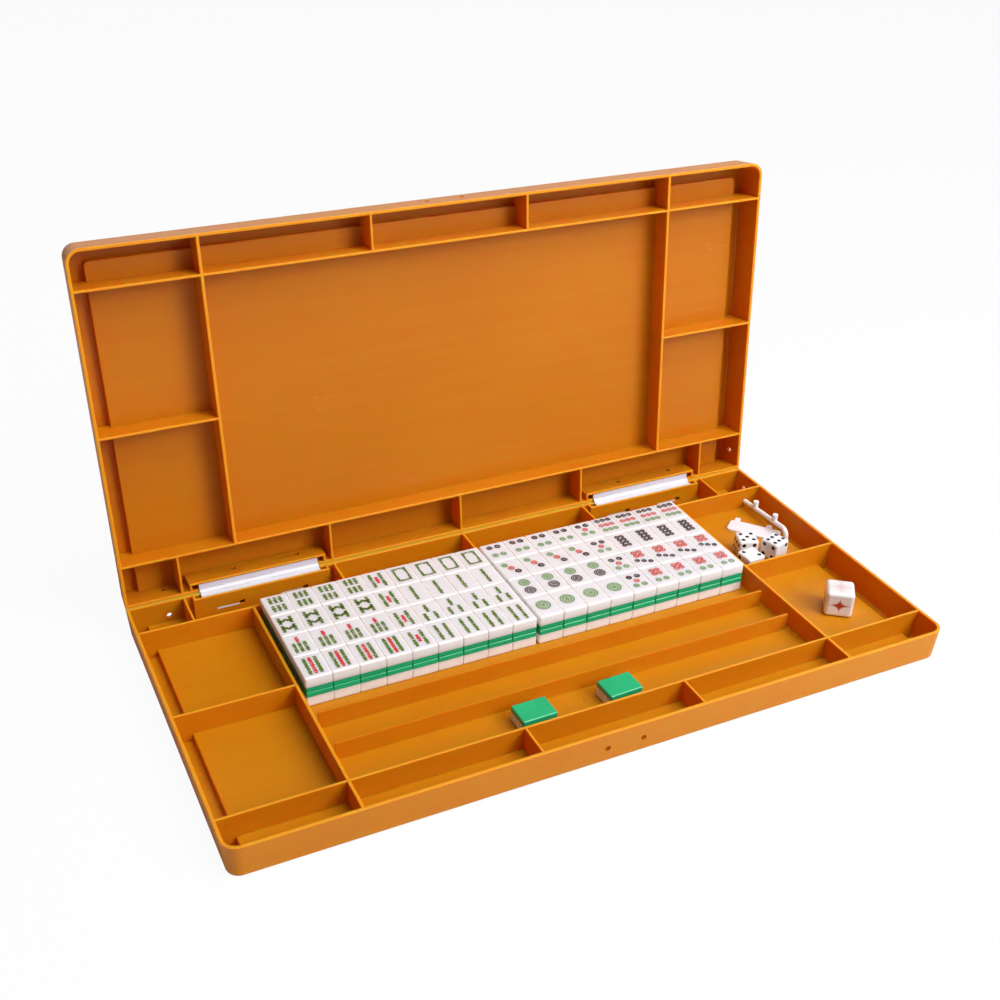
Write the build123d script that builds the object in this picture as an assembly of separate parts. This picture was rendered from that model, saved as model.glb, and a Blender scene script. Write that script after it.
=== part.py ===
"""Folding case for a travel mahjong set, with the set in it.

Two shallow moulded trays of the same layout are joined along one long edge by two pinned hinges.
The lid stands open.  The base holds two stacks of tiles, two loose tiles, dice, a dealer die and the
two pieces of a push-in clasp.  Millimetres, +Z up.  The model is built with the hinge axis at y = 0
and the base's outer face at z = 0, and is then moved so that the origin is at the bottom centre of
its bounding box.
"""
import os
from math import atan, degrees

from build123d import *

# Case
case_length = 460.0       # along the hinge, at the rim
tray_width = 226.0        # hinge face to front face, at the rim
tray_height = 22.0        # outer face to the hinge axis
opening_angle = 95.0      # between the two rim planes
seam_gap = 0.01           # each rim and each hinge face stands back this far from the hinge axis
wall = 2.0                # outer walls, floor and raised panel
draft = 1.5               # how much narrower each side is at the outer face than at the rim
corner_radius = 9.0       # upright corners at the front
edge_radius = 2.5         # outer edge between side wall and floor
floor_fillet = 1.5        # inner edge between side wall and floor
rim_radius = 0.4          # edges of every rim, rail and partition but those on the hinge face

# Raised panel of the floor
panel_inset = 11.5        # from the rim's outer edge to the panel
panel_rise = 5.0          # above the floor
panel_radius = 3.0
panel_edge_radius = 0.8

# Partitions
partition = 1.5           # rails and dividers
column_wall = 1.9         # walls of the side columns
rear_row_depth = 28.3     # hinge face to the rear rail's centre line
front_row_depth = 24.0    # front face to the front rail's centre line
column_divider = 114.0    # hinge face to the divider of both side columns
front_cells = 3           # equal cells of the front row between the column walls
rear_gap_outer = 6.6      # hinge pocket to the end cell's divider
rear_gap_inner = 6.2      # hinge pocket to the next divider
rib_height = 11.5         # above the panel
rib_end_gap = 4.5         # each end of a rib to the column wall's centre line
rib_setback = (34.3, 62.9)  # front rail to each rib of the base

# Tiles
tile_width = 16.6
tile_length = 22.2
tile_thickness = 10.3
tile_back = 3.4           # thickness of the coloured back
tile_radius = 0.9
columns = 9
rows = 4
stack_gap = 2.0           # between the two stacks
stack_margins = {"left": 3.3, "right": 4.4}   # stack to column wall face
rail_clearance = 0.4      # stack to the rear rail
tile_gaps = {"left": 0.05, "right": 0.25}   # between neighbours in a row
row_gaps = {"left": 0.2, "right": 0.3}     # between rows
layer_gap = 0.05
loose_tiles = {"left": (-37.6, 1.0), "right": (19.0, 2.5)}   # x of the centre, turn in degrees

# Hinges
hinge_from_end = 86.5     # hinge centre to the end of the case
hinge_length = 79.0
barrel_radius = 1.9
pin_radius = 0.9
pin_clearance = 0.05
knuckle_gap = 0.12
barrel_end_gap = 0.3      # each end of the barrel to the notch it lies in
base_knuckles = 3         # the lid leaf has one less
leaf_thickness = 1.6
leaf_setback = 0.15       # leaf face below the rim plane
barrel_clearance = 0.15
pocket_depth = 5.6        # hinge face to the pocket's inner wall
pocket_end_gap = 4.2      # leaf to each end of the pocket
leaf_gap = 0.2            # leaf to the pocket's inner wall
web_depth = 11.0          # web's lower edge below the rim
hook_spacing = 42.6
hook_shift = 6.4          # both hinges have their hooks off centre, to the right
hook_depth = 10.8         # hook's lower face below the rim
hook_thickness = 1.1
hook_ends = (-16.0, -1.4)  # left and right ends of a hook, from its place
slot_ends = (-16.5, 2.2)
slot_height = 1.3
entry_start = -1.2        # left end of the taller part of the slot, where the hook goes in
entry_height = 2.8
web_window = (-1.3, 3.4)  # hole through the leaf's web behind that part
base_hook_reach = partition   # how far a hook reaches into the pocket's inner wall
lid_hook_reach = 0.7
seat_clearance = 0.1      # hook's tip to the bottom of a slot that isn't through
lid_recess_height = 5.2   # shallow recess round each slot on the lid, from the slot's lower side
lid_recess_depth = 0.25

# Holes
clasp_hole_radius = 2.0
clasp_hole_spacing = 23.2
clasp_hole_height = 10.3  # above the outer face
end_hole_radius = 1.8
end_hole_from_hinge = 11.7
end_hole_height = 11.5
vent_hole_from_end = 26.0
gate_radius = 1.0         # trimmed gate of the moulding, in the middle of the base
gate_height = 0.5
gate_setback = 24.2       # front rail to the gate

# Dice and clasp
die_size = 13.8
die_radius = 1.6
dealer_size = 18.0
dealer_radius = 2.4
dice_centre = (25.3, 92.6)       # from the right column wall's centre line, from the hinge face
# each die from that centre in the same two directions, in die sizes, and its turn in degrees
dice = {
    "die_back": (-0.129, -0.71, -18.0),
    "die_front": (-0.83, 0.66, 5.0),
    "die_right": (1.073, 0.032, 17.0),
}
dealer_place = (39.7, 164.3)     # measured as the dice's centre is
dealer_turn = -36.0
peg_radius = 1.9
peg_length = 6.0
clasp_bar_radius = 1.7
clasp_bar_from_end = 13.4
clasp_bar_reach = 51.0    # rear rail to the foot's centre line
clasp_bar_lean = 3.2      # height of the leaning end's lower side above the panel
clasp_bar_rise = 3.4      # the knee's centre line above the leaning end's
clasp_bar_bend = 5.0
clasp_bar_peg = 13.2      # leaning end to the first peg
clasp_plate_length = 37.0
clasp_plate_width = 14.0
clasp_plate_thickness = 1.5
clasp_plate_corner = 3.0
clasp_plate_from_end = 33.8
clasp_plate_from_hinge = 42.6
clasp_plate_turn = 50.0
clasp_nub_start = 4.0
clasp_nub_length = 4.5

rim = tray_height - seam_gap
panel_top = wall + panel_rise
half_length = case_length / 2
draft_angle = degrees(atan(draft / tray_height))
pocket_length = hinge_length + 2 * pocket_end_gap
hinge_centres = (-(half_length - hinge_from_end), half_length - hinge_from_end)

stack_widths = {side: columns * tile_width + (columns - 1) * gap for side, gap in tile_gaps.items()}
centre_half = (sum(stack_widths.values()) + stack_gap + sum(stack_margins.values())) / 2
column_line = centre_half + column_wall / 2     # centre line of the column walls, each side of x = 0
front_line = tray_width - front_row_depth       # centre line of the front rail, from the hinge face


def block(x0, x1, y0, y1, z0, z1):
    """Box between two corners."""
    return Pos((x0 + x1) / 2, (y0 + y1) / 2, (z0 + z1) / 2) * Box(x1 - x0, y1 - y0, z1 - z0)


def tapered_block(inset, bottom, bottom_radius):
    """Solid that fills a tray, set in from its outer faces, narrowing from rim to bottom."""
    outline = RectangleRounded(case_length - 2 * inset, 2 * (tray_width - inset), corner_radius - inset)
    rim_face = Pos(0, 0, rim) * outline
    full = extrude(rim_face, amount=rim - bottom, dir=(0, 0, -1), taper=draft_angle)
    full = fillet(full.edges().group_by(Axis.Z)[0], bottom_radius)
    rear = max(inset, seam_gap)
    return full & block(-case_length, case_length, -2 * tray_width, -rear, bottom, rim)


def panel_block(inset, bottom, top, radius):
    """Prism under the raised panel, running out through the hinge face."""
    width = case_length - 2 * (panel_inset + inset)
    front = tray_width - panel_inset - inset
    return Pos(0, 0, bottom) * extrude(RectangleRounded(width, 2 * front, radius), amount=top - bottom)


def raised_panel():
    """The raised panel, with softened upper edges."""
    panel = panel_block(0, wall / 2, panel_top, panel_radius)
    panel = fillet(panel.edges().group_by(Axis.Z)[-1], panel_edge_radius)
    return panel & block(-case_length, case_length, -tray_width, -wall / 2, 0, rim)


def recess():
    """Hollow in the outer face below the raised panel, as deep as the panel is high."""
    hollow = panel_block(wall, -wall, panel_rise, panel_radius / 2)
    return hollow & block(-case_length, case_length, -tray_width, -seam_gap - wall, -wall, rim)


def wall_along_x(x0, x1, distance, top=rim):
    """Partition parallel to the hinge; distance is from the hinge face to its centre line."""
    return block(x0, x1, -distance - partition / 2, -distance + partition / 2, wall / 2, top)


def wall_along_y(x, near, far, thickness=partition):
    """Partition square to the hinge, between two distances from the hinge face."""
    return block(x - thickness / 2, x + thickness / 2, -far, -near, wall / 2, rim)


def partitions():
    """Rails, column walls and dividers that both trays share."""
    reach = half_length - wall / 2
    walls = [
        wall_along_x(-reach, reach, rear_row_depth),
        wall_along_x(-reach, reach, front_line),
    ]
    for side in (-1, 1):
        inner, outer = sorted((side * column_line, side * reach))
        walls.append(wall_along_y(side * column_line, rear_row_depth, tray_width - wall / 2, column_wall))
        walls.append(wall_along_x(inner, outer, column_divider))
        pocket_centre = side * (half_length - hinge_from_end)
        pocket_outer = pocket_centre + side * (pocket_length / 2 + rear_gap_outer)
        pocket_inner = pocket_centre - side * (pocket_length / 2 + rear_gap_inner)
        for x in (pocket_outer, pocket_inner):
            walls.append(wall_along_y(x, wall / 2, rear_row_depth))
    walls.append(wall_along_y(0, wall / 2, rear_row_depth))
    cell = 2 * column_line / front_cells
    for index in range(1, front_cells):
        walls.append(wall_along_y(-column_line + index * cell, front_line, tray_width - wall / 2))
    return walls


def hinge_pocket(centre):
    """Inner wall and two cheeks around one hinge."""
    half = pocket_length / 2
    inner_wall = wall_along_x(centre - half - partition, centre + half + partition,
                              pocket_depth + partition / 2)
    cheeks = [
        wall_along_y(centre + side * (half + partition / 2), wall / 2, pocket_depth + partition)
        for side in (-1, 1)
    ]
    return [inner_wall, *cheeks]


def hook_places(centre):
    """Reference places of the two hooks of one hinge."""
    return [centre + hook_shift + side * hook_spacing / 2 for side in (-1, 1)]


def hinge_cuts(centre, reach):
    """Notch for the barrel in the rear wall, and the keyhole slots for the hooks."""
    half = hinge_length / 2 + barrel_end_gap
    seat = rim - barrel_radius - barrel_clearance
    cuts = [block(centre - half, centre + half, -wall - seam_gap, 1, seat, rim + 1)]
    bottom = tray_height - hook_depth
    near = -pocket_depth + leaf_gap / 2
    far = -pocket_depth - partition
    blind = reach < partition
    deep = -pocket_depth - reach - seat_clearance
    for x in hook_places(centre):
        left, right = (x + end for end in slot_ends)
        cuts.append(block(left, right, deep, near, bottom, bottom + slot_height))
        cuts.append(block(x + entry_start, right, far - 1, near, bottom, bottom + entry_height))
        if blind:
            cuts.append(block(left, right, far - 1, far + lid_recess_depth,
                              bottom, bottom + lid_recess_height))
    return cuts


def tray(hook_reach, with_ribs):
    """One half of the case, rim up, hinge face towards +Y."""
    outer = tapered_block(0, 0, edge_radius)
    body = outer - tapered_block(wall, wall, floor_fillet)
    inside = [raised_panel(), *partitions()]
    for centre in hinge_centres:
        inside += hinge_pocket(centre)
    if with_ribs:
        reach = column_line - rib_end_gap
        for setback in rib_setback:
            inside.append(wall_along_x(-reach, reach, front_line - setback, panel_top + rib_height))
        inside.append(Pos(0, gate_setback - front_line, panel_top) * Cylinder(gate_radius, 2 * gate_height))
    body = body.fuse(*[piece & outer for piece in inside])
    cuts = [recess()]
    for centre in hinge_centres:
        cuts += hinge_cuts(centre, hook_reach)
    for side in (-1, 1):
        bore = Pos(side * clasp_hole_spacing / 2, -tray_width, clasp_hole_height)
        cuts.append(bore * Rot(90, 0, 0) * Cylinder(clasp_hole_radius, 4 * wall))
    end_bore = Pos(half_length, -end_hole_from_hinge, end_hole_height)
    cuts.append(end_bore * Rot(0, 90, 0) * Cylinder(end_hole_radius, 6 * wall))
    vent = Pos(-half_length + vent_hole_from_end, 0, end_hole_height)
    cuts.append(vent * Rot(90, 0, 0) * Cylinder(end_hole_radius, 4 * wall))
    body = body.cut(*cuts)
    rim_edges = body.faces().sort_by(Axis.Z)[-1].edges()
    hinge_side = rim_edges.group_by(Axis.Y)[-1]
    return fillet([edge for edge in rim_edges if edge not in hinge_side], rim_radius)


def knuckle_spans(centre, first):
    """Every second share of the barrel, from the first given: 0 for the base leaf, 1 for the lid's."""
    shares = 2 * base_knuckles - 1
    share = hinge_length / shares
    start = centre - hinge_length / 2
    lefts = [start + index * share for index in range(first, shares, 2)]
    return [(left + knuckle_gap / 2, left + share - knuckle_gap / 2) for left in lefts]


def hinge_leaf(centre, first_knuckle, hook_reach):
    """Leaf of one hinge: flange at the rim, web down the pocket wall, hooks and knuckles."""
    left, right = centre - hinge_length / 2, centre + hinge_length / 2
    top = tray_height - leaf_setback
    front = -pocket_depth + leaf_gap
    clear = -barrel_radius - barrel_clearance
    leaf = block(left, right, front, clear, top - leaf_thickness, top)
    leaf += block(left, right, front, front + leaf_thickness, tray_height - web_depth, top)
    hook_bottom = tray_height - hook_depth
    tip = -pocket_depth - hook_reach
    for x in hook_places(centre):
        leaf += block(x + hook_ends[0], x + hook_ends[1], tip, front + leaf_thickness / 2,
                      hook_bottom, hook_bottom + hook_thickness)
        leaf -= block(x + web_window[0], x + web_window[1], front - 1, front + leaf_thickness + 1,
                      hook_bottom - leaf_gap, hook_bottom + entry_height + leaf_gap)
    for x0, x1 in knuckle_spans(centre, first_knuckle):
        leaf += block(x0, x1, clear - leaf_thickness / 2, 0, top - leaf_thickness, top)
        barrel = Rot(0, 90, 0) * Cylinder(barrel_radius, x1 - x0)
        leaf += Pos((x0 + x1) / 2, 0, tray_height) * barrel
    bore = Rot(0, 90, 0) * Cylinder(pin_radius + pin_clearance, hinge_length + 2)
    return leaf - Pos(centre, 0, tray_height) * bore


def hinge_pin(centre):
    """Pin through all the knuckles of one hinge."""
    return Pos(centre, 0, tray_height) * Rot(0, 90, 0) * Cylinder(pin_radius, hinge_length - 1)


def onto_lid(shape):
    """Place a shape built as part of a base on the open lid."""
    flat = shape.mirror(Plane.XZ)
    turn = Location((0, 0, tray_height)) * Rot(180 - opening_angle, 0, 0)
    return turn * Location((0, 0, -tray_height)) * flat


def rounded_box(length, width, height, radius):
    """Box with all its edges rounded, its bottom face at z = 0."""
    box = Pos(0, 0, height / 2) * Box(length, width, height)
    return fillet(box.edges(), radius)


def tile_part(part, face_up):
    """The face or the back of one tile, upright, its lowest face at z = 0."""
    tile = rounded_box(tile_width, tile_length, tile_thickness, tile_radius)
    seam = tile_back if face_up else tile_thickness - tile_back
    upper = (part == "faces") == face_up
    low, high = (seam, tile_thickness) if upper else (0, seam)
    return tile & block(-tile_width, tile_width, -tile_length, tile_length, low, high)


def tile_row(side, layer, row, part):
    """Faces or backs of the tiles of one row of one stack.

    Row 0 is nearest to the hinge.  Layer 0 is the lower one and lies face down.
    """
    pitch = tile_width + tile_gaps[side]
    first = {"left": -centre_half + stack_margins["left"],
             "right": centre_half - stack_margins["right"] - stack_widths["right"]}
    back = rear_row_depth + partition / 2 + rail_clearance + row * (tile_length + row_gaps[side])
    z = panel_top + layer * (tile_thickness + layer_gap)
    tile = tile_part(part, layer == 1)
    centres = [first[side] + tile_width / 2 + column * pitch for column in range(columns)]
    return Compound([Pos(x, -back - tile_length / 2, z) * tile for x in centres])


def loose_tile(x, turn, part):
    """Face or back of a tile lying lengthwise, face down, midway between the front rib and rail."""
    centre = -front_line + rib_setback[0] / 2
    return Pos(x, centre, panel_top) * Rot(0, 0, 90 + turn) * tile_part(part, False)


def cube_on_floor(across, back, turn, size, radius):
    """Die in the right column, on the raised panel."""
    cube = rounded_box(size, size, size, radius)
    return Pos(column_line + across, -back, panel_top) * Rot(0, 0, turn) * cube


def clasp_bar():
    """Round bar with two pegs, on its bent foot, its other end leaning on the rear rail."""
    x = half_length - clasp_bar_from_end
    rail_face = rear_row_depth + partition / 2
    slope = clasp_bar_rise / clasp_bar_reach
    low = panel_top + clasp_bar_lean + clasp_bar_radius
    start = Vector(x, -rail_face - clasp_bar_radius * slope, low)
    knee = Vector(x, -rail_face - clasp_bar_reach, low + clasp_bar_rise)
    foot = Vector(x, -rail_face - clasp_bar_reach, panel_top)
    path = FilletPolyline(start, knee, foot, radius=clasp_bar_bend)
    bar = sweep(Plane(start, z_dir=knee - start) * Circle(clasp_bar_radius), path=path)
    for index in range(2):
        along = clasp_bar_peg + index * clasp_hole_spacing
        z = low + along * slope
        bar += Pos(x, -rail_face - along, z + peg_length / 2) * Cylinder(peg_radius, peg_length)
    return bar


def clasp_plate():
    """Flat plate with two pegs in the plane of the plate, lying on the panel."""
    plate = Pos(clasp_plate_length / 2, -clasp_plate_width / 2, clasp_plate_thickness / 2) * Box(
        clasp_plate_length, clasp_plate_width, clasp_plate_thickness)
    plate = fillet(plate.edges().filter_by(Axis.Z), clasp_plate_corner)
    for index in range(2):
        nub = block(0, 2 * peg_radius, -1, clasp_nub_length, 0, clasp_plate_thickness)
        plate += Pos(clasp_nub_start - peg_radius + index * clasp_hole_spacing, 0, 0) * nub
    plate = fillet(plate.edges().filter_by(Axis.Z).group_by(Axis.Y)[-1], 1)
    corner = Pos(half_length - clasp_plate_from_end, -clasp_plate_from_hinge, panel_top)
    return corner * Rot(0, 0, -clasp_plate_turn) * plate


nodes = {"base_tray": tray(base_hook_reach, True), "lid_tray": onto_lid(tray(lid_hook_reach, False))}
for side, centre in zip(("left", "right"), hinge_centres):
    nodes[f"hinge_{side}_base_leaf"] = hinge_leaf(centre, 0, base_hook_reach)
    nodes[f"hinge_{side}_lid_leaf"] = onto_lid(hinge_leaf(centre, 1, lid_hook_reach))
    nodes[f"hinge_{side}_pin"] = hinge_pin(centre)
    for part in ("faces", "backs"):
        for layer, layer_name in enumerate(("lower", "upper")):
            for row in range(rows):
                name = f"tiles_{side}_{layer_name}_row_{row + 1}_{part}"
                nodes[name] = tile_row(side, layer, row, part)
        nodes[f"loose_tile_{side}_{part[:-1]}"] = loose_tile(*loose_tiles[side], part)
for name, (across, back, turn) in dice.items():
    place = (dice_centre[0] + across * die_size, dice_centre[1] + back * die_size)
    nodes[name] = cube_on_floor(*place, turn, die_size, die_radius)
nodes["dealer_die"] = cube_on_floor(*dealer_place, dealer_turn, dealer_size, dealer_radius)
nodes["clasp_bar"] = clasp_bar()
nodes["clasp_plate"] = clasp_plate()

box = Compound(list(nodes.values())).bounding_box()
to_origin = Pos(-(box.min.X + box.max.X) / 2, -(box.min.Y + box.max.Y) / 2, -box.min.Z)

os.makedirs("parts", exist_ok=True)
for name, shape in nodes.items():
    export_step(to_origin * shape, f"parts/{name}.step")
print("hinge axis y, z:", to_origin.position.Y, to_origin.position.Z + tray_height)
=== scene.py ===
"""Looks of a folding mahjong case that stands open, with its tiles, dice and clasp in the base.

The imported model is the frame.  The trays, hinges, plain tile bodies and clasp pieces keep their
modelled shapes and get their finishes here.  The marks on the tiles and the drilled dice are made
here as meshes and ride on the same bodies.  Metres, +Z up.
"""
import math

import bpy
import numpy as np
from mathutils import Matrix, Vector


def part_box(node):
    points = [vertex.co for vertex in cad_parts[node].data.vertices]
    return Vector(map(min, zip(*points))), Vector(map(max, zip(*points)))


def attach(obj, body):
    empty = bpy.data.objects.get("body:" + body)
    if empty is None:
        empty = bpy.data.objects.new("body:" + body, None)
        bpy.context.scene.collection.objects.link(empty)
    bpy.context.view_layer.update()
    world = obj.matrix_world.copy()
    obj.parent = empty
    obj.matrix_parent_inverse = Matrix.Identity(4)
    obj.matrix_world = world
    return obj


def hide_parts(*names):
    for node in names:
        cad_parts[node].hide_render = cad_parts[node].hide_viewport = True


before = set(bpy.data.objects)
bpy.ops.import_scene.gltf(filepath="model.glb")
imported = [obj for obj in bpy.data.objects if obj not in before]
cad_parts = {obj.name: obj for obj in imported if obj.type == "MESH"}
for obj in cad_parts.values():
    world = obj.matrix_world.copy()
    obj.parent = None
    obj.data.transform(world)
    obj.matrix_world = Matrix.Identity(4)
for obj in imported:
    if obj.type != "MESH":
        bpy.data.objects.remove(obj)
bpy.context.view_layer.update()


# ---------------------------------------------------------------------------------------------
# Camera: a short lens, seen from the front left corner and from above the standing lid.
# ---------------------------------------------------------------------------------------------
camera_place = (-0.31367, -0.59569, 0.49113)
camera_turn = (57.381, -1.198, -25.462)     # degrees about X, Y and Z
camera_lens = 46.395
camera_shift = (0.00585, 0.05045)

camera = bpy.data.objects.new("camera", bpy.data.cameras.new("camera"))
camera.location = camera_place
camera.rotation_euler = [math.radians(angle) for angle in camera_turn]
camera.data.lens = camera_lens
camera.data.shift_x, camera.data.shift_y = camera_shift
camera.data.clip_start = 0.05
bpy.context.scene.collection.objects.link(camera)
bpy.context.scene.camera = camera
bpy.context.scene.view_settings.view_transform = "Standard"


# ---------------------------------------------------------------------------------------------
# Studio: a white table, a white surround, one wide soft lamp high on the right at the front and
# a weaker one above.
# ---------------------------------------------------------------------------------------------
class Wire:
    """An output socket of a node tree.  Arithmetic on it adds Math nodes to that tree."""

    def __init__(self, tree, socket):
        self.tree = tree
        self.socket = socket

    def math(self, operation, *others):
        return add(self.tree, "Math", {"operation": operation}, dict(enumerate((self, *others))))

    def __add__(self, other):
        return self.math("ADD", other)

    def __sub__(self, other):
        return self.math("SUBTRACT", other)

    def __rsub__(self, other):
        return add(self.tree, "Math", {"operation": "SUBTRACT"}, {0: other, 1: self})

    def __mul__(self, other):
        return self.math("MULTIPLY", other)

    __radd__ = __add__
    __rmul__ = __mul__


def add(tree, kind, settings, sockets, output=0):
    """Add one shader node: its settings first, then the values or wires of its sockets."""
    node = tree.nodes.new("ShaderNode" + kind)
    for name, value in settings.items():
        setattr(node, name, value)
    for name, value in sockets.items():
        if isinstance(value, Wire):
            tree.links.new(value.socket, node.inputs[name])
        else:
            node.inputs[name].default_value = value
    return Wire(tree, node.outputs[output])


surround_light = 0.15       # strength of the white surround on the object
table_whiteness = 0.95      # share of plain white that the lens sees in the table
table_colour = (0.80, 0.80, 0.80, 1)
table_reach = 6.0           # from its middle to each side

world = bpy.data.worlds.new("surround")
world.use_nodes = True
bpy.context.scene.world = world
tree = world.node_tree
by_lens, by_gloss, through_glass = [add(tree, "LightPath", {}, {}, f"Is {ray} Ray")
                                    for ray in ("Camera", "Glossy", "Transmission")]
seen = by_lens.math("MAXIMUM", by_gloss.math("MAXIMUM", through_glass))
background = tree.nodes["Background"]
background.inputs["Color"].default_value = (1, 1, 1, 1)
strength = surround_light + (1 - surround_light) * seen
tree.links.new(strength.socket, background.inputs["Strength"])

table = bpy.data.materials.new("table")
table.use_nodes = True
tree = table.node_tree
tree.nodes.remove(tree.nodes["Principled BSDF"])
seen = add(tree, "LightPath", {}, {}, "Is Camera Ray")
matt = add(tree, "BsdfDiffuse", {}, {"Color": table_colour})
glow = add(tree, "Emission", {}, {"Color": (1, 1, 1, 1), "Strength": 1.0})
mixed = add(tree, "MixShader", {}, {0: seen * table_whiteness, 1: matt, 2: glow})
tree.links.new(mixed.socket, tree.nodes["Material Output"].inputs["Surface"])

corners = [(x * table_reach, y * table_reach, 0) for x, y in ((-1, -1), (1, -1), (1, 1), (-1, 1))]
floor_mesh = bpy.data.meshes.new("floor")
floor_mesh.from_pydata(corners, [], [(0, 1, 2, 3)])
floor_mesh.materials.append(table)
floor = bpy.data.objects.new("floor", floor_mesh)
bpy.context.scene.collection.objects.link(floor)

lamp_aim = (0.0, 0.0, 0.05)
lamp_size = 1.0
lamps = {
    "lamp_right": {"place": (0.90, -1.15, 1.1), "power": 27.5},
    "lamp_above": {"place": (0.30, -0.40, 1.6), "power": 16.5},
}
for name, lamp in lamps.items():
    light = bpy.data.lights.new(name, "AREA")
    light.shape = "DISK"
    light.size = lamp_size
    light.energy = lamp["power"]
    holder = bpy.data.objects.new(name, light)
    holder.location = lamp["place"]
    reach = np.subtract(lamp_aim, lamp["place"])
    turn = math.atan2(reach[1], reach[0]) - math.pi / 2
    holder.rotation_euler = (math.atan2(math.hypot(reach[0], reach[1]), -reach[2]), 0, turn)
    bpy.context.scene.collection.objects.link(holder)


# ---------------------------------------------------------------------------------------------
# Trays: two injection mouldings in orange brown plastic, satin, with the faint streaks of the
# flow, the marks of the ejector pins and light scuffs, and a highlight painted along each thin rim.
# ---------------------------------------------------------------------------------------------
hinge_axis = (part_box("hinge_left_pin")[0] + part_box("hinge_left_pin")[1]) / 2
opening = math.radians(95)                                 # of the lid, from closed
across_lid = (0, -math.cos(opening), math.sin(opening))    # from the hinge to the lid's far edge
out_of_lid = (0, -math.sin(opening), -math.cos(opening))


def plastic(name, **values):
    """New material whose Principled shader has these constants, with its tree and shader."""
    material = bpy.data.materials.new(name)
    material.use_nodes = True
    shader = material.node_tree.nodes["Principled BSDF"]
    for socket, value in values.items():
        shader.inputs[socket.replace("_", " ")].default_value = value
    return material, material.node_tree, shader


def noise(tree, place, scale, detail=2.0, roughness=0.5):
    """Noise from 0 to 1 over a place; scale counts its features per metre."""
    return add(tree, "TexNoise", {}, {"Vector": place, "Scale": scale, "Detail": detail,
                                      "Roughness": roughness})


def stretched(tree, place, factors, turn=(0.0, 0.0, 0.0)):
    """A place with each axis multiplied and turned, so that a pattern on it is drawn out."""
    return add(tree, "Mapping", {"vector_type": "POINT"},
               {"Vector": place, "Scale": factors, "Rotation": turn})


def mix_colours(tree, share, first, second):
    """Colour between two others."""
    return add(tree, "Mix", {"data_type": "RGBA"}, {0: share, 6: first, 7: second}, 2)


def dimmed(colour, share):
    """A colour with a share of its light."""
    return (*(share * part for part in colour[:3]), 1)


def between(tree, value, low, high):
    """0 below low and 1 above high, smooth between; the other way round where low > high."""
    if low > high:
        return 1 - between(tree, value, high, low)
    return add(tree, "MapRange", {"interpolation_type": "SMOOTHSTEP"}, {0: value, 1: low, 2: high})


def measured(tree, offset, direction):
    """How far an offset reaches in a direction."""
    return add(tree, "VectorMath", {"operation": "DOT_PRODUCT"}, {0: offset, 1: direction}, 1)


def circle_line(tree, along, away, centre, radius, width):
    """1 on the line of a circle about a centre, 0 a width away from it."""
    run = along - centre[0]
    rise = away - centre[1]
    distance = (run * run + rise * rise).math("SQRT")
    return between(tree, (distance - radius).math("ABSOLUTE"), width, 0.0)


def feed(tree, shader, tone, roughness, height=None, strength=1.0):
    """Feed a shader its colour, its roughness and a bump whose height is in metres."""
    tree.links.new(tone.socket, shader.inputs["Base Color"])
    tree.links.new(roughness.socket, shader.inputs["Roughness"])
    if height is not None:
        bump = add(tree, "Bump", {}, {"Strength": strength, "Distance": 1.0, "Height": height})
        tree.links.new(bump.socket, shader.inputs["Normal"])


tray_streak = (0.62, 0.25, 0.012, 1)
tray_scuff = (0.82, 0.55, 0.30, 1)
# Painted highlight: a paler orange band just below the rim plane, for light that catches and shines
# through the thin rims.
tray_rim_highlight = (0.80, 0.36, 0.012, 1)
rim_highlight_depth = 0.0011          # how far the pale edge of a rim reaches down
pin_mark_radius = 0.0042
pin_mark_width = 0.0005
pin_mark_depth = 0.00005


def tray_finish(name, tones, from_hinge, out_of_rim, pin_marks):
    """Case plastic, laid out along the hinge, away from the hinge and below the rim plane.

    pin_marks are the middles of the ejector pins' rings, along the hinge and away from it.
    """
    material, tree, shader = plastic(name, IOR=1.5, Specular_IOR_Level=0.2, Subsurface_Weight=0.85,
                                     Subsurface_Scale=0.006, Subsurface_Radius=(1.0, 0.08, 0.01))
    place = add(tree, "TexCoord", {}, {}, "Object")
    offset = add(tree, "VectorMath", {"operation": "SUBTRACT"}, {0: place, 1: hinge_axis})
    depth = 0 - measured(tree, offset, out_of_rim)
    along = measured(tree, place, (1, 0, 0))
    away = measured(tree, offset, from_hinge)
    clouds = noise(tree, place, 9.0, 2.0)
    streaks = noise(tree, stretched(tree, place, (7.0, 170.0, 170.0)), 1.0, 3.0)
    grain = noise(tree, place, 2600.0, 1.0)
    scratches = noise(tree, stretched(tree, place, (160.0, 900.0, 900.0), (0, 0.9, 0)), 1.0, 1.0)
    patches = noise(tree, place, 17.0)
    scuffs = between(tree, scratches, 0.62, 0.74) * between(tree, patches, 0.55, 0.75)
    tone = mix_colours(tree, clouds * 1.6 - 0.3, *tones)
    tone = mix_colours(tree, (streaks - 0.5) * 0.45 + 0.12, tone, tray_streak)
    tone = mix_colours(tree, scuffs * 0.16, tone, tray_scuff)
    # Painted highlight along the rims: the pale rim colour is mixed in near the rim plane.
    tone = mix_colours(tree, between(tree, depth, rim_highlight_depth, 0.0002) * 0.7, tone, tray_rim_highlight)
    height = noise(tree, place, 26.0, 1.0) * 0.00025 + grain * 0.000006 + streaks * 0.00001
    for centre in pin_marks:
        ring = circle_line(tree, along, away, centre, pin_mark_radius, pin_mark_width)
        height = height - ring * pin_mark_depth
    feed(tree, shader, tone, 0.30 + clouds * 0.16 + scuffs * 0.12, height)
    return material


def coat(node, material):
    """Give a node of the frame its finish."""
    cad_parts[node].data.materials[0] = material


# Painted light: the base's tones are paler and yellower than the lid's, for the stronger light on
# the up-facing base; both trays are the same plastic.
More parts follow.
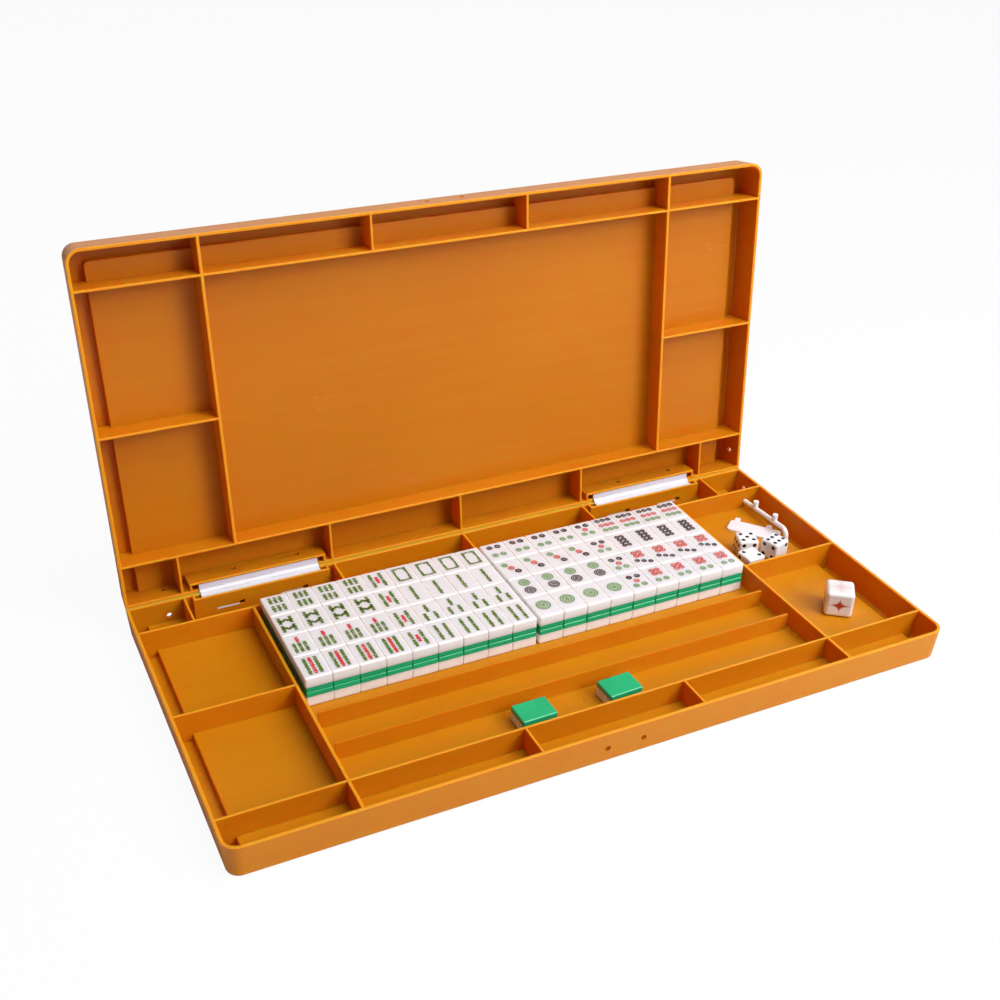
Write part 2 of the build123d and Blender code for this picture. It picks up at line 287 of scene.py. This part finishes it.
base_lit_tones = (0.53, 0.180, 0.0008, 1), (0.58, 0.215, 0.0024, 1)
lid_shaded_tones = (0.50, 0.150, 0.0006, 1), (0.54, 0.180, 0.0020, 1)
lid_pin_marks = (-0.1103, 0.1846), (0.1063, 0.1850)
coat("base_tray", tray_finish("base_plastic", base_lit_tones, (0, -1, 0), (0, 0, 1), ()))
coat("lid_tray", tray_finish("lid_plastic", lid_shaded_tones, across_lid, out_of_lid, lid_pin_marks))


# ---------------------------------------------------------------------------------------------
# Hinges: white nylon leaves with barrels, pushed into slots of the pocket walls, on plain pins.
# ---------------------------------------------------------------------------------------------
barrel_edge = (0.0016, 0.0024)      # where a barrel goes over into its flange, from its axis


def white_finish(name, colour, roughness, through, depth=0.002, flange_shade=None):
    """Smooth white plastic that lets some light through, with the faint unevenness of moulding.

    through is the share of the light that enters it, and depth how far that light gets.
    flange_shade
    is painted shade: a darker, greyer colour beyond the barrel, away from the hinge axis, where the
    lid leaf's flange lies in shade.
    """
    material, tree, shader = plastic(name, Subsurface_Weight=through, Subsurface_Scale=depth,
                                     Subsurface_Radius=(1.0, 0.9, 0.8))
    place = add(tree, "TexCoord", {}, {}, "Object")
    clouds = noise(tree, place, 60.0)
    tone = mix_colours(tree, clouds, colour, dimmed(colour, 0.94))
    if flange_shade:
        offset = add(tree, "VectorMath", {"operation": "SUBTRACT"}, {0: place, 1: hinge_axis})
        away = measured(tree, offset, across_lid)
        # Painted shade on the flange beyond the barrel.
        tone = mix_colours(tree, between(tree, away, *barrel_edge), tone, flange_shade)
    height = noise(tree, place, 900.0) * 0.000012
    feed(tree, shader, tone, roughness - 0.05 + clouds * 0.1, height)
    return material


nylon_colour = (0.73, 0.73, 0.78, 1)
# Painted shade: the lid leaf is the same white nylon, and this darker lilac grey stands for the
# shade on its flange.
flange_shade_colour = (0.64, 0.60, 0.69, 1)
base_nylon = white_finish("base_leaf_nylon", nylon_colour, 0.35, 0.15)
lid_nylon = white_finish("lid_leaf_nylon", nylon_colour, 0.35, 0.15, flange_shade=flange_shade_colour)
for side in ("left", "right"):
    coat(f"hinge_{side}_base_leaf", base_nylon)
    coat(f"hinge_{side}_lid_leaf", lid_nylon)
    coat(f"hinge_{side}_pin", base_nylon)


# ---------------------------------------------------------------------------------------------
# Tile bodies: polished resin, an ivory face of two thirds on a green back, one block per tile.
# Each tile is cast on its own, so their tones differ a little.
# ---------------------------------------------------------------------------------------------
tile_width = 0.0166
tile_columns = 9
tile_rows = (1, 2, 3, 4)
layer_height = 0.01035
# The paler edge of a tile is painted light that brightens the shade in the seams between tiles.
edge_light_width = (0.0014, 0.0003)       # where the paler edge of a tile begins and is full


def tile_finish(name, colour, through, first, pitch, contrast, edge_light_share):
    """Tile resin whose tone is drawn again for every tile of a block that starts at first.

    contrast is the light of the darkest tile, as a share of the colour.
    """
    material, tree, shader = plastic(name, IOR=1.5, Subsurface_Weight=through,
                                     Subsurface_Scale=0.005, Subsurface_Radius=(1.0, 1.0, 1.0))
    place = add(tree, "TexCoord", {}, {}, "Object")
    shifted = add(tree, "VectorMath", {"operation": "SUBTRACT"}, {0: place, 1: first})
    counted = add(tree, "VectorMath", {"operation": "DIVIDE"}, {0: shifted, 1: pitch})
    tile = add(tree, "VectorMath", {"operation": "FLOOR"}, {0: counted})
    draw = add(tree, "TexWhiteNoise", {"noise_dimensions": "3D"}, {"Vector": tile}, 0)
    clouds = noise(tree, place, 160.0)
    share = draw * 0.6 + clouds * 0.4
    tone = mix_colours(tree, share, colour, dimmed(colour, contrast))
    inside = add(tree, "VectorMath", {"operation": "FRACTION"}, {0: counted})
    # Painted light: the tone turns paler towards each tile's edges, lightening the shade of the
    # seams.
    for axis, width in (("X", pitch[0]), ("Y", pitch[1])):
        part = add(tree, "SeparateXYZ", {}, {"Vector": inside}, axis)
        from_edge = width / 2 - (part - 0.5).math("ABSOLUTE") * width
        edge_light = between(tree, from_edge, *edge_light_width) * edge_light_share
        tone = mix_colours(tree, edge_light, tone, (1, 1, 1, 1))
    height = noise(tree, place, 220.0) * 0.00002
    feed(tree, shader, tone, 0.16 + clouds * 0.12, height)
    return material


ivory_colour = (0.77, 0.79, 0.86, 1)
green_colour = (0.003, 0.455, 0.19, 1)
tile_centres = {}
for side in ("left", "right"):
    low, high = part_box(f"tiles_{side}_upper_row_1_faces")
    pitch = (high.x - low.x - tile_width) / (tile_columns - 1)
    next_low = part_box(f"tiles_{side}_upper_row_2_faces")[0]
    first = (low.x - (pitch - tile_width) / 2, next_low.y, 0.0)
    cell = (pitch, low.y - next_low.y, layer_height)     # of one tile in its block
    ivory = tile_finish(f"{side}_ivory", ivory_colour, 0.8, first, cell, 0.955, 0.8)
    green = tile_finish(f"{side}_green", green_colour, 0.0, first, cell, 0.85, 0.0)
    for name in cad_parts:
        if "tile" in name and side in name:
            coat(name, ivory if name.endswith(("faces", "face")) else green)
    across = low.x + tile_width / 2 + pitch * np.arange(tile_columns)
    row_boxes = [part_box(f"tiles_{side}_upper_row_{row}_faces") for row in tile_rows]
    tile_centres[side] = [(x, (low.y + high.y) / 2) for low, high in row_boxes for x in across]
tile_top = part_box("tiles_left_upper_row_1_faces")[1].z


# ---------------------------------------------------------------------------------------------
# Tile marks: bamboo sticks on the left block and dots on the right, cut into the faces and filled
# with green, red and brown black paint.  Each mark is a thin patch just above its tile.
# ---------------------------------------------------------------------------------------------
mark_lift = 0.00003         # of a mark over its tile
paint_green = (0.080, 0.165, 0.014)
paint_dot_green = (0.160, 0.320, 0.110)
paint_red = (0.60, 0.030, 0.034)
paint_dot_red = (0.62, 0.085, 0.070)
paint_black = (0.030, 0.016, 0.016)
worn_paint = (0.70, 0.70, 0.66, 1)
stick_width = 2.7           # sizes and places of marks are in millimetres
stick_pitch = 3.4
window_size = (9.5, 15.0)
window_line = 1.3
large_radius = 3.5          # dots from this radius on have a ring more
ring_steps = 20


def grid_faces(columns, rows, closed=False):
    """Quads of a grid of points, counted along its columns first; closed joins the last column."""
    column = np.arange(columns if closed else columns - 1)
    index = column[None, :] + columns * np.arange(rows - 1)[:, None]
    following = (column + 1) % columns + columns * np.arange(rows - 1)[:, None]
    return np.stack([index, following, following + columns, index + columns], -1).reshape(-1, 4)


def stick_patch():
    """Stick of half width 1 and half length 1: at height v it is 0.8 + 0.2 cos 2 pi v wide."""
    v, u = np.meshgrid(np.linspace(-1, 1, 9), np.linspace(-1, 1, 3), indexing="ij")
    ends = np.where(np.abs(v) == 1, 0.8, 1.0)
    width = (0.80 + 0.20 * np.cos(2 * np.pi * v)) * ends
    points = np.stack([u * width, v], -1).reshape(-1, 2)
    return points, grid_faces(3, 9), ((1 - np.abs(u)) * (np.abs(v) < 1)).ravel()


def rings_patch(radii):
    """Rings between the given pairs of radii, each r (cos a, sin a); a ring is deepest halfway."""
    points, faces, depths = [], [], []
    turn = np.linspace(0, 2 * np.pi, ring_steps, endpoint=False)
    for inner, outer in radii:
        radius, angle = np.meshgrid(np.linspace(outer, inner, 3), turn, indexing="ij")
        faces.append(grid_faces(ring_steps, 3, closed=True)[:, ::-1] + radius.size * len(points))
        points.append(np.stack([radius * np.cos(angle), radius * np.sin(angle)], -1).reshape(-1, 2))
        depths.append(np.repeat([0.0, 1.0, 1.0 if inner < 0.05 else 0.0], ring_steps))
    return np.concatenate(points), np.concatenate(faces), np.concatenate(depths)


def frame_patch(width, height, line):
    """Rectangular frame, its line thickened by a third at the corners."""
    along = np.array([-1, -0.62, 0, 0.62])
    sides = [np.stack([along, -np.ones(4)], -1), np.stack([np.ones(4), along], -1),
             np.stack([-along, np.ones(4)], -1), np.stack([-np.ones(4), -along], -1)]
    outline = np.concatenate(sides) * (width / 2, height / 2)
    thick = np.tile([1.33, 1.33, 0.9, 1.33], 4)[:, None] * line
    shrink = np.sign(np.round(outline / (width / 2, height / 2), 6))
    shrink *= np.abs(outline / (width / 2, height / 2)) > 0.99
    rings = [outline - shrink * thick * share for share in (0, 0.5, 1)]
    return np.concatenate(rings), grid_faces(16, 3, closed=True), np.repeat([0.0, 1.0, 0.0], 16)


def stick(x, y, length, paint=paint_green, turn=0.0):
    """A stick's place on its tile: scales, turn, centre and paint."""
    return (stick_width / 2, length / 2, math.radians(turn), x, y, *paint)


def stick_row(y, length, middle=paint_green):
    """Three upright sticks side by side."""
    return [stick(-stick_pitch, y, length), stick(0, y, length, middle),
            stick(stick_pitch, y, length)]


def dot(x, y, radius, paint):
    """A dot's place on its tile."""
    return (radius, radius, 0.0, x, y, *paint)


def dot_pair(y, radius, paint, half):
    """Two dots side by side, each half their distance from the middle."""
    return [dot(-half, y, radius, paint), dot(half, y, radius, paint)]


five_sticks = ([stick(x, y, 7.3) for x in (-3.45, 3.45) for y in (-4.0, 4.0)]
               + [stick(0, 0, 7.4, paint_red)])
slanted = [stick(1.7 * a, 3.9 * b, 4.6, turn=55 * a * b) for a in (-1, 1) for b in (-1, 1)]
upright = [stick(3.6 * a, 4.35 * b, 7.3) for a in (-1, 1) for b in (-1, 1)]
bamboo_rows = [          # marks left and right of the middle column, or the window frame
    (stick_row(4.6, 6.8) + stick_row(-4.6, 6.8), "frame"),
    (slanted + upright, [stick(0, 4.0, 7.7), stick(0, -4.0, 7.7)]),
    ([stick(0, 5.4, 5.3, paint_red)] + stick_row(-0.1, 4.8) + stick_row(-5.2, 4.8),
     [stick(0, 4.2, 7.9), stick(-3.35, -4.6, 7.9), stick(3.35, -4.6, 7.9)]),
    (stick_row(5.4, 5.5, middle=paint_red) + stick_row(0, 5.5, middle=paint_red)
     + stick_row(-5.4, 5.5, middle=paint_red),
     [stick(x, y, 7.7) for x in (-3.0, 3.0) for y in (-4.05, 4.05)]),
]
five_dots = (dot_pair(4.9, 2.1, paint_black, 3.0) + [dot(0, 0, 2.1, paint_dot_red)]
             + dot_pair(-4.9, 2.1, paint_dot_green, 3.0))
dot_rows = [
    (dot_pair(4.8, 2.2, paint_black, 2.9) + dot_pair(-4.8, 2.2, paint_dot_green, 2.9),
     [dot(4.2 * c, y, 2.0, paint) for c in (-1, 0, 1) for y, paint in
      ((6.0, paint_black), (0, paint_dot_red), (-6.0, paint_dot_green))]),
    ([dot(-2.9, 4.6, 2.3, paint_dot_green), dot(0, 0, 2.3, paint_dot_red),
      dot(2.9, -4.6, 2.3, paint_black)],
     sum((dot_pair(y, 1.8, paint_black, 1.75) for y in (-5.4, -1.8, 1.8, 5.4)), [])),
    ([dot(0, 4.6, 3.9, paint_dot_green), dot(0, -4.5, 3.9, paint_black)],
     dot_pair(6.4, 2.1, paint_dot_red, 1.9) + dot_pair(2.6, 2.1, paint_dot_red, 1.9)
     + [dot(4.1 * c, -4.2 - 1.9 * c, 1.8, paint_black) for c in (-1, 0, 1)]),
    ([dot(0, 0, 4.9, paint_dot_green)],
     dot_pair(6.2, 2.1, paint_dot_red, 1.9) + dot_pair(2.4, 2.1, paint_dot_red, 1.9)
     + dot_pair(-4.6, 2.1, paint_dot_green, 2.9)),
]
mark_shifts = {          # of the marks of each row of a block from the middle of their tiles
    "left": ((-0.2, 0.5), (-0.8, 0.3), (-0.7, -0.4), (-0.1, -0.3)),
    "right": ((-0.2, 1.3), (-0.3, 1.0), (-0.2, 0.5), (0.0, 0.2)),
}
mark_scatter = 0.00018   # of each tile's marks about that place
middle_column = 4


def stamped(patch, places):
    """Copies of a patch: scaled, turned by t as (x cos t - y sin t, x sin t + y cos t), moved."""
    points, faces, depths = patch
    places = np.array(places)
    scaled = points[None] * places[:, None, 0:2]
    cosine, sine = np.cos(places[:, 2:3]), np.sin(places[:, 2:3])
    x = scaled[..., 0] * cosine - scaled[..., 1] * sine + places[:, 3:4]
    y = scaled[..., 0] * sine + scaled[..., 1] * cosine + places[:, 4:5]
    count = len(places)
    paints = np.repeat(places[:, 5:8], len(points), axis=0)
    all_faces = (faces[None] + len(points) * np.arange(count)[:, None, None]).reshape(-1, 4)
    return np.stack([x.ravel(), y.ravel()], -1), all_faces, np.tile(depths, count), paints


def mark_piece(name, body, parts, material):
    """One mesh of stamped patches at the level of the tile faces, riding on a body of tiles."""
    points = np.concatenate([part[0] for part in parts])
    starts = np.cumsum([0] + [len(part[0]) for part in parts[:-1]])
    faces = np.concatenate([part[1] + start for part, start in zip(parts, starts)])
    mesh = bpy.data.meshes.new(name)
    level = np.full((len(points), 1), tile_top + mark_lift)
    mesh.from_pydata(np.hstack([points, level]), [], faces)
    depth = mesh.attributes.new("cut", "FLOAT", "POINT")
    depth.data.foreach_set("value", np.concatenate([part[2] for part in parts]))
    paint = mesh.attributes.new("paint", "FLOAT_COLOR", "POINT")
    colours = np.hstack([np.concatenate([part[3] for part in parts]), np.ones((len(points), 1))])
    paint.data.foreach_set("color", colours.ravel())
    mesh.materials.append(material)
    piece = bpy.data.objects.new(name, mesh)
    bpy.context.scene.collection.objects.link(piece)
    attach(piece, body)


def on_tiles(side, designs, five):
    """Places of all marks of a block: in each row one design, a five in the middle, another."""
    places = []
    for index, (x, y) in enumerate(mark_centres[side]):
        row, column = divmod(index, tile_columns)
        design = five if column == middle_column else designs[row][column > middle_column]
        if design == "frame":
            continue
        places += [(a / 1e3, b / 1e3, t, x + u / 1e3, y + v / 1e3, *paint)
                   for a, b, t, u, v, *paint in design]
    return places


scatter = np.random.default_rng(7)
mark_centres = {}
for side, shifts in mark_shifts.items():
    shifts = np.repeat(shifts, tile_columns, axis=0) / 1e3
    shifts = shifts + scatter.normal(0, mark_scatter, shifts.shape)
    mark_centres[side] = np.add(tile_centres[side], shifts)
paint_material, tree, shader = plastic("tile_paint", Specular_IOR_Level=0.4)
place = add(tree, "TexCoord", {}, {}, "Object")
paint = add(tree, "Attribute", {"attribute_name": "paint"}, {}, 0)
cut = add(tree, "Attribute", {"attribute_name": "cut"}, {}, 2)
worn = between(tree, noise(tree, place, 700.0, 3.0), 0.50, 0.72)
tone = mix_colours(tree, worn * 0.42, paint, worn_paint)
hollow = between(tree, cut, 0.0, 0.7)
feed(tree, shader, tone, 0.45 + worn * 0.2, hollow * -0.0002, 0.6)

windows = [(1e-3, 1e-3, 0.0, x, y, *paint_green)
           for x, y in mark_centres["left"][middle_column + 1:tile_columns]]
mark_piece("bamboo_marks", "left_upper_tiles",
           [stamped(stick_patch(), on_tiles("left", bamboo_rows, five_sticks)),
            stamped(frame_patch(*window_size, window_line), windows)], paint_material)
dots = on_tiles("right", dot_rows, five_dots)
large = [place for place in dots if place[0] * 1e3 >= large_radius]
black = [place for place in dots if place[0] * 1e3 < large_radius and place[5:] == paint_black]
small = [place for place in dots if place[0] * 1e3 < large_radius and place[5:] != paint_black]
mark_piece("dot_marks", "right_upper_tiles",
           [stamped(rings_patch([(0.36, 1.0), (0.02, 0.26)]), black),
            stamped(rings_patch([(0.50, 1.0), (0.02, 0.36)]), small),
            stamped(rings_patch([(0.76, 1.0), (0.44, 0.66), (0.02, 0.32)]), large)], paint_material)


# ---------------------------------------------------------------------------------------------
# Dice: cast white resin, tumbled round at the edges, with drilled pips filled with black paint.
# The dealer die is larger and carries a four pointed star on each face instead.
# ---------------------------------------------------------------------------------------------
face_frames = {          # outward, then the two directions in which a face's marks are laid out
    "top": ((0, 0, 1), (1, 0, 0), (0, 1, 0)),
    "front": ((0, -1, 0), (1, 0, 0), (0, 0, 1)),
    "right": ((1, 0, 0), (0, 1, 0), (0, 0, 1)),
    "back": ((0, 1, 0), (-1, 0, 0), (0, 0, 1)),
    "left": ((-1, 0, 0), (0, -1, 0), (0, 0, 1)),
    "bottom": ((0, 0, -1), (1, 0, 0), (0, -1, 0)),
}
pip_places = {           # in pip spacings from the middle of a face
    1: [(0, 0)],
    2: [(-1, 1), (1, -1)],
    3: [(-1, 1), (0, 0), (1, -1)],
    4: [(-1, 1), (1, 1), (-1, -1), (1, -1)],
    5: [(-1, 1), (1, 1), (0, 0), (-1, -1), (1, -1)],
    6: [(-1.2, 0.8), (0, 0.8), (1.2, 0.8), (-1.2, -0.8), (0, -0.8), (1.2, -0.8)],
}
pip_spacing = 0.0037
pip_radius = 0.00144
pip_depth = 0.00045
star_reach = (0.0066, 0.0046)       # across and up, from its middle to the tips
star_power = 0.57
die_edge = 0.0016           # radii of the tumbled edges
dealer_edge = 0.0024


def rounded_cube(size, radius, steps, marked):
    """Six grids on a cube: a point q goes to c + r (q - c) / |q - c|, where c is q kept r inside.

    The grid lines lie at 0.75 sin(a) + 0.25 a of even steps, so that they crowd towards the edges.
    marked gives, for the flat places of a face, how far they sink and their mark's distance.
    """
    even = np.linspace(-1, 1, steps)
    lines = (0.75 * np.sin(even * math.pi / 2) + 0.25 * even) * size / 2
    v, u = np.meshgrid(lines, lines, indexing="ij")
    points, faces, marks = [], [], []
    for name, (out, right, up) in face_frames.items():
        q = (u[..., None] * right + v[..., None] * up + np.multiply(out, size / 2)).reshape(-1, 3)
        core = np.clip(q, radius - size / 2, size / 2 - radius)
        rest = q - core
        sink, mark = marked(name, u.ravel(), v.ravel())
        shell = core + radius * rest / np.linalg.norm(rest, axis=1)[:, None]
        faces.append(grid_faces(steps, steps) + steps * steps * len(points))
        points.append(shell - sink[:, None] * out)
        marks.append(mark)
    return np.concatenate(points), np.concatenate(faces), np.concatenate(marks)


def pips(numbers):
    """Sink and distance of the pips: a pip is a bowl, sqrt(1 - (d / r)^2) deep, at distance d."""
    def marked(name, u, v):
        sites = np.array(pip_places[numbers[name]]) * pip_spacing
        if numbers[name] == 2 and name == "front":
            sites = sites * (-1, 1)     # this die shows its other diagonal
        away = np.hypot(u[:, None] - sites[:, 0], v[:, None] - sites[:, 1]).min(axis=1) / pip_radius
        return pip_depth * np.sqrt(np.clip(1 - away ** 2, 0, 1)), away
    return marked


def star(name, u, v):
    """A four pointed star is where (|u| / a)^p + (|v| / b)^p is less than 1; the top's is worn."""
    away = (np.abs(u) / star_reach[0]) ** star_power + (np.abs(v) / star_reach[1]) ** star_power
    return 0.00015 * np.clip(1.4 - away, 0, 0.4), 0.98 + 0.09 * away if name == "top" else away


def die_piece(name, body, turn, radius, steps, marked, material):
    """A die in the place of its node: turned about the upright axis and moved there."""
    low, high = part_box(name)
    size = high.z - low.z
    points, faces, marks = rounded_cube(size, radius, steps, marked)
    angle = math.radians(turn)
    cosine, sine = math.cos(angle), math.sin(angle)
    turned = np.array([[cosine, -sine, 0], [sine, cosine, 0], [0, 0, 1]])
    mesh = bpy.data.meshes.new(name + "_drilled")
    mesh.from_pydata(points @ turned.T + np.array((low + high) / 2), [], faces)
    value = mesh.attributes.new("mark", "FLOAT", "POINT")
    value.data.foreach_set("value", marks)
    mesh.shade_smooth()
    mesh.materials.append(material)
    piece = bpy.data.objects.new(name + "_drilled", mesh)
    bpy.context.scene.collection.objects.link(piece)
    weld = piece.modifiers.new("weld", "WELD")
    weld.merge_threshold = 0.000001
    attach(piece, body)
    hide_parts(name)


def dice_finish(name, colour, ink, edge):
    """White resin with ink wherever the mark's distance is below 1, soft by an edge."""
    material, tree, shader = plastic(name, IOR=1.5, Subsurface_Weight=0.2, Subsurface_Scale=0.002,
                                     Subsurface_Radius=(1.0, 0.95, 0.9))
    place = add(tree, "TexCoord", {}, {}, "Object")
    mark = add(tree, "Attribute", {"attribute_name": "mark"}, {}, 2)
    clouds = noise(tree, place, 300.0)
    tone = mix_colours(tree, clouds, colour, dimmed(colour, 0.93))
    tone = mix_colours(tree, between(tree, mark, 1.0 + edge, 1.0 - edge), tone, ink)
    feed(tree, shader, tone, 0.12 + clouds * 0.12)
    return material


dice_resin = dice_finish("dice_resin", (0.86, 0.86, 0.88, 1), (0.006, 0.005, 0.016, 1), 0.12)
dealer_resin = dice_finish("dealer_resin", (0.86, 0.86, 0.87, 1), (0.42, 0.045, 0.030, 1), 0.25)
numbers = {
    "die_back": {"top": 5, "bottom": 2, "front": 4, "back": 3, "left": 6, "right": 1},
    "die_front": {"top": 2, "bottom": 5, "front": 1, "back": 6, "left": 3, "right": 4},
    "die_right": {"top": 6, "bottom": 1, "front": 2, "back": 5, "left": 4, "right": 3},
}
turns = {"die_back": -18.0, "die_front": 5.0, "die_right": 17.0}
for name, turn in turns.items():
    die_piece(name, name, turn, die_edge, 45, pips(numbers[name]), dice_resin)
die_piece("dealer_die", "dealer_die", -36.0, dealer_edge, 61, star, dealer_resin)


# ---------------------------------------------------------------------------------------------
# Clasp: a bar with two pegs and a thin plate with two pegs, both in white plastic that lets a
# little light through.
# ---------------------------------------------------------------------------------------------
coat("clasp_bar", white_finish("clasp_bar_plastic", (0.88, 0.88, 0.90, 1), 0.3, 0.15))
coat("clasp_plate", white_finish("clasp_plate_plastic", (0.86, 0.82, 0.87, 1), 0.35, 0.40, 0.004))
